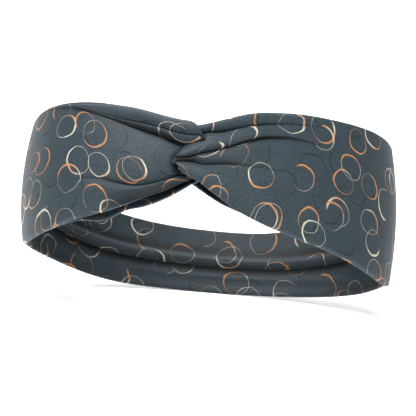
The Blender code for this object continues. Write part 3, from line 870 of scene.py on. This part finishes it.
def new_material(name, sockets):
    """A material whose shader has these values on its sockets; gives material, tree, shader."""
    material = bpy.data.materials.new(name)
    material.use_nodes = True
    tree = material.node_tree
    shader = tree.nodes["Principled BSDF"]
    for label, value in sockets.items():
        shader.inputs[label].default_value = value
    return material, tree, shader


def add_bump(tree, shader, height, strength, distance):
    """A Bump node from a height to the shader's normal."""
    bump = add_node(tree, "ShaderNodeBump", Strength=strength, Distance=distance, Height=height)
    feed(tree, shader.inputs["Normal"], bump.outputs[0])


def jersey(name, offset):
    """Matt printed jersey of that name, made once: a heathered ground, the dark rings, then
    the bright ones. The print is moved by the offset. Painted shade: an attribute worked out
    from the shape takes away its own share of the darkening from the colour, and paints the
    colour lighter where it is below 0."""
    if name in bpy.data.materials:
        return bpy.data.materials[name]
    if "Brush rings" not in bpy.data.node_groups:
        brush_ring_group(), heather_group(), knit_group()
    colours = bpy.context.scene.headband_print
    bright = (*colours.copper, 1.0), (*colours.cream, 1.0)
    dark = (*colours.dark, 1.0), (*colours.dark, 1.0)
    groups = bpy.data.node_groups
    material, tree, shader = new_material(name, {
        "Roughness": 0.52, "Specular IOR Level": 0.17, "Sheen Weight": 0.03,
        "Sheen Roughness": 0.40, "Sheen Tint": (0.62, 0.70, 0.80, 1.0)})
    cloth = add_node(tree, "ShaderNodeUVMap", uv_map="cloth").outputs[0]
    heather = add_node(tree, "ShaderNodeGroup", node_tree=groups["Heather"], Cloth=cloth,
                       Ground=(*colours.ground, 1.0), Amount=0.75).outputs
    colour = heather["Colour"]
    for k, (seed, cell, turn, filled, strength, is_bright) in enumerate(PRINT_LAYERS):
        first, second = bright if is_bright else dark
        place = add_node(tree, "ShaderNodeMapping", vector_type="POINT", Vector=cloth,
                         Location=(offset + 0.0137 * (k + 1), offset + 0.0071 * (2 * k + 1), 0.0),
                         Rotation=(0.0, 0.0, math.radians(turn)))
        rings = add_node(tree, "ShaderNodeGroup", node_tree=groups["Brush rings"],
                         Cloth=place.outputs[0], Cell=cell, Seed=seed,
                         Scatter=max(0.0, 1.0 - RING_ROOM / cell) * 1.25,
                         **{"Filled cells": filled, "First colour": first, "Second colour": second})
        weight = math_node(tree, "MULTIPLY", rings.outputs["Mask"], strength)
        colour = mix_colours(tree, weight, colour, rings.outputs["Colour"])
    # painted shade and highlight: the shading attribute scales the base colour
    painted_shading = add_node(tree, "ShaderNodeAttribute", attribute_type="GEOMETRY",
                      attribute_name="painted_shading").outputs["Fac"]
    lit = math_node(tree, "MULTIPLY_ADD", painted_shading, -PAINTED_SHADING_STRENGTH, 1.0)
    feed(tree, shader.inputs["Base Color"], vector_node(tree, "SCALE", colour, None, None, lit))
    knit = add_node(tree, "ShaderNodeGroup", node_tree=groups["Knit"], Cloth=cloth).outputs[0]
    relief = math_node(tree, "MULTIPLY_ADD", heather["Fleck"], 1.4, knit)
    add_bump(tree, shader, relief, 0.30, 0.00010)
    lay_out(tree)
    return material


def sewing_thread(name, colour):
    """Twisted polyester thread: fine slanted stripes along it in height, with painted shade
    darkening the colour in their grooves.
    """
    material, tree, shader = new_material(name, {"Roughness": 0.55})
    place = add_node(tree, "ShaderNodeTexCoord").outputs["Object"]
    wave = add_node(tree, "ShaderNodeTexWave", place, bands_direction="DIAGONAL", Scale=900.0,
                    Distortion=1.0).outputs["Fac"]
    painted_groove_shade = (*[0.55 * c for c in colour], 1.0)
    feed(tree, shader.inputs["Base Color"], mix_colours(tree, wave, painted_groove_shade, (*colour, 1.0)))
    add_bump(tree, shader, wave, 0.5, 0.0001)
    lay_out(tree)
    return material


# ---------------------------------------------------------------- settings

class BandSettings(bpy.types.PropertyGroup):
    """The cloth's own sizes."""
    thickness: bpy.props.FloatProperty(
        name="Cloth thickness", description="Thickness of one layer of the band's cloth",
        default=CLOTH, min=0.0004, max=0.003, unit="LENGTH")


class PrintSettings(bpy.types.PropertyGroup):
    """The print's colours."""
    ground: bpy.props.FloatVectorProperty(
        name="Ground", description="Colour of the jersey", subtype="COLOR", size=3,
        min=0.0, max=1.0, default=(0.0205, 0.0310, 0.0385))
    copper: bpy.props.FloatVectorProperty(
        name="Copper rings", description="Colour of the warm rings", subtype="COLOR", size=3,
        min=0.0, max=1.0, default=(0.300, 0.142, 0.058))
    cream: bpy.props.FloatVectorProperty(
        name="Cream rings", description="Colour of the light rings", subtype="COLOR", size=3,
        min=0.0, max=1.0, default=(0.420, 0.390, 0.310))
    dark: bpy.props.FloatVectorProperty(
        name="Dark rings", description="Colour of the dark rings", subtype="COLOR", size=3,
        min=0.0, max=1.0, default=(0.0080, 0.0115, 0.0145))


class LightSettings(bpy.types.PropertyGroup):
    """The studio's light."""
    key: bpy.props.FloatProperty(
        name="Key light", description="Power of the large soft light", default=80.0,
        min=0.0, subtype="POWER", unit="POWER")
    room: bpy.props.FloatProperty(
        name="Room light", description="Strength of the pale room", default=0.15, min=0.0)


# ---------------------------------------------------------------- operators


def stretch_with_back(piece):
    """Bakes the piece's transform into its mesh."""
    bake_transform(piece)


BAND_PIECES = (                # name, the nodes it stands for, flat size, how it is held
    ("left_knot_cloth", ("left_knot_bight",), (0.050, 0.045), "gathered"),
    ("left_panel_cloth", ("left_outer_panel",), (0.080, 0.105), "gathered"),
    ("folded_back_cloth", ("back_outer_layer", "back_upper_flap", "back_lower_flap"),
     (0.110, 0.260), "folded"),
    ("right_panel_cloth", ("right_outer_panel",), (0.080, 0.105), "gathered"),
    ("right_knot_cloth", ("right_knot_bight",), (0.050, 0.045), "gathered"),
)


class HEADBAND_OT_band(bpy.types.Operator):
    """Add the band's outer cloth: both knotted ends, both side panels and the folded back"""
    bl_idname = "headband.band"
    bl_label = "Band cloth"

    def execute(self, context):
        thickness = context.scene.headband_band.thickness
        face, painted_shading, parts = whole_band()
        middle = FOLD_STEPS + FLAP_STEPS + FACE_COLUMNS // 2
        measure = wrap_measure(cloth_measure(face, middle))
        # the painted shading, the same on the rims and the back as on the face
        painted_shading = wrap_measure(painted_shading)
        wrapped = wrap_cloth(face, thickness)
        normals = grid_normals(wrapped, True)
        for (name, nodes, flat, held), first, last in zip(BAND_PIECES, parts[:-1], parts[1:]):
            rows = slice(first, last + 1)
            piece = closed_cloth(name, wrapped[rows], measure[rows], painted_shading[rows], normals[rows],
                                 face.shape[1])
            piece.data.materials.append(jersey("printed_band_jersey", 0.0))
            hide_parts(*nodes)
            stretch_with_back(piece)
        return {"FINISHED"}


INNER_ROWS = 90
INNER_GATHER_ROWS = 30         # those before PANEL_START
INNER_COLUMNS = 56
INNER_END = math.radians(72.0)     # the layer ends here, tucked under the flaps
INNER_TURN_ROWS = 9
INNER_TURN_END = 0.85          # how far its end turns into the knot, as a share of a half turn
INNER_TURN_RADIUS = 0.0022
INNER_TOP_SETBACK = 0.0022     # how far its top edge lies below the band's
INNER_LAYERS = {
    # rows of (out, value) in millimetres: heights and insets of the two long edges
    "left": {
        "side": -1.0,
        "top": ((-6, 6.0), (0, 10.5), (8, 15.2), (20, 19.4), (33, 22.2), (50, 25.8)),
        "bottom": ((-6, -9.0), (-2.2, -11.2), (3, -14.6), (9.1, -18.6), (21, -24.2),
                   (36, -27.2), (52, -29.8)),
        "setback": (0.045, 0.0022),    # out at which the bottom edge rises, and how far
        "inset": ((-6, 6.2), (4, 6.8), (14, 6.2), (30, 4.9), (50, 3.2), (92, 2.6), (116, 1.2)),
        "top_inset": ((-6, 6.6), (3, 5.4), (10, 3.0), (30, 1.9), (50, 1.7), (92, 2.0),
                      (116, 1.2)),
        "turn": ((0, -1.0), (0.5, -4.0), (1, -1.0)),   # out of its turn, by share of the height
    },
    "right": {
        "side": 1.0,
        "top": ((-8, 10.0), (0, 13.6), (6, 16.5), (15, 20.0), (28, 23.4), (45, 27.0)),
        "bottom": ((-8, -5.0), (0, -9.2), (2.2, -11.0), (7.7, -14.8), (11.7, -17.6),
                   (16, -20.2), (21, -22.4), (34, -26.4), (50, -29.0)),
        "setback": (0.018, 0.0035),
        "inset": ((-8, 9.4), (4, 8.6), (14, 6.6), (30, 4.4), (50, 2.9), (92, 2.6), (116, 1.2)),
        "top_inset": ((-8, 8.0), (4, 5.8), (14, 3.6), (30, 2.0), (50, 1.7), (92, 2.0),
                      (116, 1.2)),
        "turn": ((0, 1.5), (0.5, -4.0), (1, -2.0)),
    },
}
INNER_PRINT_OFFSET = 0.05      # moves the inner layers' print against the outer one's
INNER_PRINT_START = 0.31       # where along the print the left layer begins
INNER_PRINT_STEP = 0.40        # and how much later the right one does
SETBACK_FADE = 0.020           # over which a setback comes in
GATHER_POWER = (0.9, 0.8, 0.05)    # at the knot, how much more further out, and by what out
INNER_GATHERS = 5              # folds across an inner layer where it is gathered
GATHER_DEPTH = ((0, 1.7), (10, 1.5), (25, 0.9), (45, 0.3), (70, 0))


def gathered_inset(layer, out, up):
    """Inset of an inner layer's face at a share up its height. It goes from the bottom
    edge's inset to the top edge's by the share squared. On it stand the gathers, equal rolls
    side by side: each is the depth times a half wave of the sine, to a power that grows away
    from the knot."""
    low, high = fold_line(out, layer["inset"]), fold_line(out, layer["top_inset"])
    wave = np.abs(np.sin(math.pi * INNER_GATHERS * up))
    at_knot, more, by_out = GATHER_POWER
    sharp = at_knot + more * ease(out / by_out)
    return low + (high - low) * up ** 2 + wave ** sharp * fold_line(out, GATHER_DEPTH) + CLOTH


def inner_face(name):
    """World points of an inner layer's face, which looks into the opening, and the painted shade
    of its face and its back, as far as they are closed off from the light, rows from the knot
    outwards. The back is open, and painted lighter still, at the strip that shows below the
    outer layer."""
    layer = INNER_LAYERS[name]
    length = row_lengths(INNER_END * LOOP_HALF_WIDTH, INNER_ROWS, INNER_GATHER_ROWS, 1.0)
    share = np.linspace(0.0, 1.0, INNER_COLUMNS + 1)
    out, held, turned = rows_from_turn(length, layer["turn"], share, INNER_TURN_END,
                                       INNER_TURN_ROWS, INNER_TURN_RADIUS)
    angle = layer["side"] * out / LOOP_HALF_WIDTH
    held_angle = layer["side"] * held / LOOP_HALF_WIDTH
    near_knot = 1.0 - ease((held - PANEL_START) / FOLDS_FADE)
    setback_start, setback = layer["setback"]
    top = top_edge(held_angle) - INNER_TOP_SETBACK
    bottom = bottom_edge(held_angle) + setback * ease((held - setback_start) / SETBACK_FADE)
    top = top + (fold_line(held, layer["top"]) - top) * near_knot
    bottom = bottom + (fold_line(held, layer["bottom"]) - bottom) * near_knot
    height = bottom + (top - bottom) * share[None, :]
    inset = gathered_inset(layer, held, share[None, :]) - INNER_TURN_RADIUS * (1.0 - np.cos(turned))
    # painted light at the strip's bottom edge, turning to painted shade up under the outer layer
    behind = STRIP_LIGHT + STRIP_FADE * np.clip((height - bottom) / INNER_STRIP, 0.0, 1.0)
    behind = np.minimum(behind, BESIDE_DARK)
    return place_on_band(angle, height, inset), painted_inside_shade(angle), behind


class HEADBAND_OT_inner_layers(bpy.types.Operator):
    """Add the straps' inner layers, gathered to the back of the knot"""
    bl_idname = "headband.inner_layers"
    bl_label = "Inner layers"

    def execute(self, context):
        thickness = context.scene.headband_band.thickness
        for k, name in enumerate(("left", "right")):
            face, inside_shade, behind = inner_face(name)
            wrapped = wrap_cloth(face, thickness, 1.0 if name == "left" else -1.0)
            start = INNER_PRINT_START + INNER_PRINT_STEP * k
            measure = wrap_measure(cloth_measure(face, INNER_COLUMNS // 2, start))
            # painted shade in the gathers and inside the loop; on the back, the strip's painted
            # light and shade
            painted_shading = wrap_measure(np.maximum(painted_shading_of(face, (2, 4)), inside_shade), behind)
            piece = closed_cloth(f"{name}_inner_cloth", wrapped, measure, painted_shading, None,
                                 face.shape[1])
            piece.data.materials.append(jersey("printed_inner_jersey", INNER_PRINT_OFFSET))
            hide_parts(f"{name}_inner_panel")
            stretch_with_back(piece)
        return {"FINISHED"}


SEAM_START = 0.0340            # out at which the turned-over seam allowance begins
SEAM_WIDTH = 0.0060
SEAM_THICKNESS = 0.0009
SEAM_GAP = 0.0002              # over the inner layer's gathers
SEAM_CROWN = 0.0004            # how much prouder its middle lies than its edges
SEAM_EDGE_SETBACK = 0.0050
SEAM_ROWS = 13
SEAM_COLUMNS = 49
SEAM_PRINT_START = 1.3         # where along the print the allowance begins
STITCHES = 14
STITCH_STEPS = 12              # points of the thread's path in each stitch
STITCH_CORNER = 0.92           # how sharply the zigzag turns: 1 is a corner, 0 a round wave
STITCH_WIDTH = 0.0030
THREAD = 0.0005
THREAD_RISE = 0.45             # as a share of the thread's own thickness
THREAD_SIDES = 8


def on_left_inner(out, share, proud):
    """World points over the left inner layer's face: at an out, at a share of the height
    between the seam's ends, and so far proud of the layer's gathers into the opening."""
    layer = INNER_LAYERS["left"]
    bottom, top = fold_line(out, layer["bottom"]), fold_line(out, layer["top"])
    rise = SEAM_EDGE_SETBACK + (top - bottom - 2.0 * SEAM_EDGE_SETBACK) * share
    inset = gathered_inset(layer, out, rise / (top - bottom)) + proud
    return place_on_band(-out / LOOP_HALF_WIDTH, bottom + rise, inset)


class HEADBAND_OT_seam(bpy.types.Operator):
    """Add the closing seam inside the left inner layer: its allowance and its stitches"""
    bl_idname = "headband.seam"
    bl_label = "Closing seam"

    def execute(self, context):
        share, out = np.meshgrid(np.linspace(0.0, 1.0, SEAM_COLUMNS),
                                 np.linspace(SEAM_START, SEAM_START + SEAM_WIDTH, SEAM_ROWS))
        crown = SEAM_CROWN * np.sin(math.pi * (out - SEAM_START) / SEAM_WIDTH)
        face = on_left_inner(out, share, SEAM_THICKNESS + SEAM_GAP + crown)
        # painted shade and highlight in the allowance's folds
        piece = closed_cloth("seam_allowance_cloth", wrap_cloth(face, SEAM_THICKNESS),
                             wrap_measure(cloth_measure(face, SEAM_COLUMNS // 2, SEAM_PRINT_START)),
                             wrap_measure(painted_shading_of(face, (2,))), None, face.shape[1])
        piece.data.materials.append(jersey("printed_inner_jersey", INNER_PRINT_OFFSET))
        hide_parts("closing_seam_allowance")
        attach(piece, "front_band")

        # zigzag stitches: the thread swings from side to side and rises twice in each stitch
        turns = np.linspace(0.0, STITCHES, STITCH_STEPS * STITCHES + 1)
        swing = np.arcsin(STITCH_CORNER * np.sin(2.0 * math.pi * turns)) / (0.5 * math.pi)
        path_out = SEAM_START + 0.5 * SEAM_WIDTH + 0.5 * STITCH_WIDTH * swing
        rise = THREAD_RISE * THREAD * (1.0 - np.cos(4.0 * math.pi * turns))
        proud = SEAM_THICKNESS + SEAM_GAP + SEAM_CROWN + rise
        path = on_left_inner(path_out, turns / STITCHES, proud)
        thread = closed_tube("seam_thread", path, 0.5 * THREAD, THREAD_SIDES)
        thread.data.materials.append(sewing_thread("seam_thread_yarn", (0.060, 0.078, 0.098)))
        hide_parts("closing_seam_thread")
        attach(thread, "front_band")
        return {"FINISHED"}


FLOOR_FRONT = -2.5             # where the floor begins, ends and how it goes on, in metres
FLOOR_BACK = 1.6
FLOOR_BEND = 0.8
FLOOR_HALF_WIDTH = 3.0
WALL_HEIGHT = 2.0
LIGHTS = (                     # name, place, where it points, size, share of the key's power
    ("key", (-0.45, -0.55, 1.60), (0.0, 0.0, 0.0), 1.7, 1.0),
    ("fill", (1.0, -1.0, 0.45), (0.0, 0.0, 0.0), 0.8, 0.10),
    ("backdrop", (0.0, 1.3, 1.9), (0.0, 2.4, 0.4), 1.5, 0.8),
)


class HEADBAND_OT_stage(bpy.types.Operator):
    """Add the floor, the light and the camera"""
    bl_idname = "headband.stage"
    bl_label = "Stage"

    def execute(self, context):
        settings = context.scene.headband_light
        add_floor()
        add_lights(settings.key, settings.room)
        add_camera()
        context.scene.view_settings.view_transform = "Standard"
        return {"FINISHED"}


def pale_paint():
    """Matt pale floor with a faint grain."""
    finish = {"Roughness": 0.9, "Specular IOR Level": 0.1}
    material, tree, shader = new_material("pale_floor", finish)
    place = add_node(tree, "ShaderNodeTexCoord").outputs["Object"]
    grain = noise_node(tree, place, 40.0, 3.0)["Fac"]
    feed(tree, shader.inputs["Base Color"],
         mix_colours(tree, grain, (0.93, 0.93, 0.93, 1.0), (0.96, 0.96, 0.96, 1.0)))
    lay_out(tree)
    return material


def add_floor():
    """A floor that sweeps up behind: flat, then a quarter of a circle, then upright."""
    bend = np.linspace(0.0, 0.5 * math.pi, 25)
    y = np.concatenate([[FLOOR_FRONT, 0.0], FLOOR_BACK + FLOOR_BEND * np.sin(bend),
                        [FLOOR_BACK + FLOOR_BEND]])
    z = float(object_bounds()[0].z) + np.concatenate(
        [[0.0, 0.0], FLOOR_BEND * (1.0 - np.cos(bend)), [FLOOR_BEND + WALL_HEIGHT]])
    x = np.linspace(-FLOOR_HALF_WIDTH, FLOOR_HALF_WIDTH, 9)
    grid = np.stack(np.broadcast_arrays(x[None, :], y[:, None], z[:, None]), axis=-1)
    rows, columns = grid.shape[:2]
    index = np.arange(rows * columns).reshape(rows, columns)
    faces = np.stack([index[:-1, :-1], index[:-1, 1:], index[1:, 1:], index[1:, :-1]], axis=-1)
    piece = add_smooth("floor", grid.reshape(-1, 3), faces.reshape(-1, 4).tolist())
    piece.data.materials.append(pale_paint())
    piece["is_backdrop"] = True


def add_lights(key, room):
    """A large soft light above the front left, a weaker one on the right, one on the floor
    and wall behind, and a pale room."""
    world = bpy.data.worlds.new("pale_room")
    bpy.context.scene.world = world
    world.use_nodes = True
    background = world.node_tree.nodes["Background"]
    background.inputs["Color"].default_value = (1.0, 1.0, 1.0, 1.0)
    background.inputs["Strength"].default_value = room
    for name, place, aim, size, share in LIGHTS:
        data = bpy.data.lights.new(name, "AREA")
        data.shape, data.size, data.energy = "DISK", size, share * key
        light = bpy.data.objects.new(name, data)
        bpy.context.scene.collection.objects.link(light)
        light.location = place
        light.rotation_euler = (Vector(aim) - Vector(place)).to_track_quat("-Z", "Y").to_euler()


CAMERA_YAW = math.radians(2.757)       # how far the view turns towards +X
CAMERA_ELEVATION = math.radians(6.267)
CAMERA_ROLL = math.radians(-4.733)
CAMERA_DISTANCE = 1.0
CAMERA_LENS = 171.4
SENSOR = 36.0
FRAME_OFFSET = (-0.00066, 0.00045)     # the loop's middle, from the view's axis


def add_camera():
    """The camera a metre away, turned, raised and rolled about the loop's middle."""
    away = np.array([math.sin(CAMERA_YAW) * math.cos(CAMERA_ELEVATION),
                     math.cos(CAMERA_YAW) * math.cos(CAMERA_ELEVATION),
                     -math.sin(CAMERA_ELEVATION)])
    level_right = np.cross(away, (0.0, 0.0, 1.0))
    level_right /= np.linalg.norm(level_right)
    level_up = np.cross(level_right, away)
    up = math.cos(CAMERA_ROLL) * level_up + math.sin(CAMERA_ROLL) * level_right
    right = np.cross(away, up)
    place = -CAMERA_DISTANCE * away + FRAME_OFFSET[0] * right + FRAME_OFFSET[1] * up
    data = bpy.data.cameras.new("camera")
    data.lens, data.sensor_width = CAMERA_LENS, SENSOR
    data.clip_start, data.clip_end = 0.01, 20.0
    camera = bpy.data.objects.new("camera", data)
    bpy.context.scene.collection.objects.link(camera)
    turn = Matrix(np.stack([right, up, -away], axis=1).tolist()).to_4x4()
    turn.translation = place.tolist()
    camera.matrix_world = turn
    bpy.context.scene.camera = camera


STEPS = (HEADBAND_OT_band, HEADBAND_OT_inner_layers, HEADBAND_OT_seam, HEADBAND_OT_stage)


class HEADBAND_PT_build(bpy.types.Panel):
    """The headband's settings and the steps that build it"""
    bl_idname = "HEADBAND_PT_build"
    bl_label = "Knotted headband"
    bl_space_type = "VIEW_3D"
    bl_region_type = "UI"
    bl_category = "Headband"

    def draw(self, context):
        scene = context.scene
        for settings in (scene.headband_band, scene.headband_print, scene.headband_light):
            box = self.layout.box()
            for name in settings.__annotations__:
                box.prop(settings, name)
        for step in STEPS:
            self.layout.operator(step.bl_idname)


CLASSES = (BandSettings, PrintSettings, LightSettings, *STEPS, HEADBAND_PT_build)


def register():
    for kind in CLASSES:
        bpy.utils.register_class(kind)
    bpy.types.Scene.headband_band = bpy.props.PointerProperty(type=BandSettings)
    bpy.types.Scene.headband_print = bpy.props.PointerProperty(type=PrintSettings)
    bpy.types.Scene.headband_light = bpy.props.PointerProperty(type=LightSettings)


def unregister():
    del bpy.types.Scene.headband_light
    del bpy.types.Scene.headband_print
    del bpy.types.Scene.headband_band
    for kind in reversed(CLASSES):
        bpy.utils.unregister_class(kind)


def main():
    register()
    bpy.ops.headband.band()
    bpy.ops.headband.inner_layers()
    bpy.ops.headband.seam()
    bpy.ops.headband.stage()


if __name__ == "__main__":
    main()
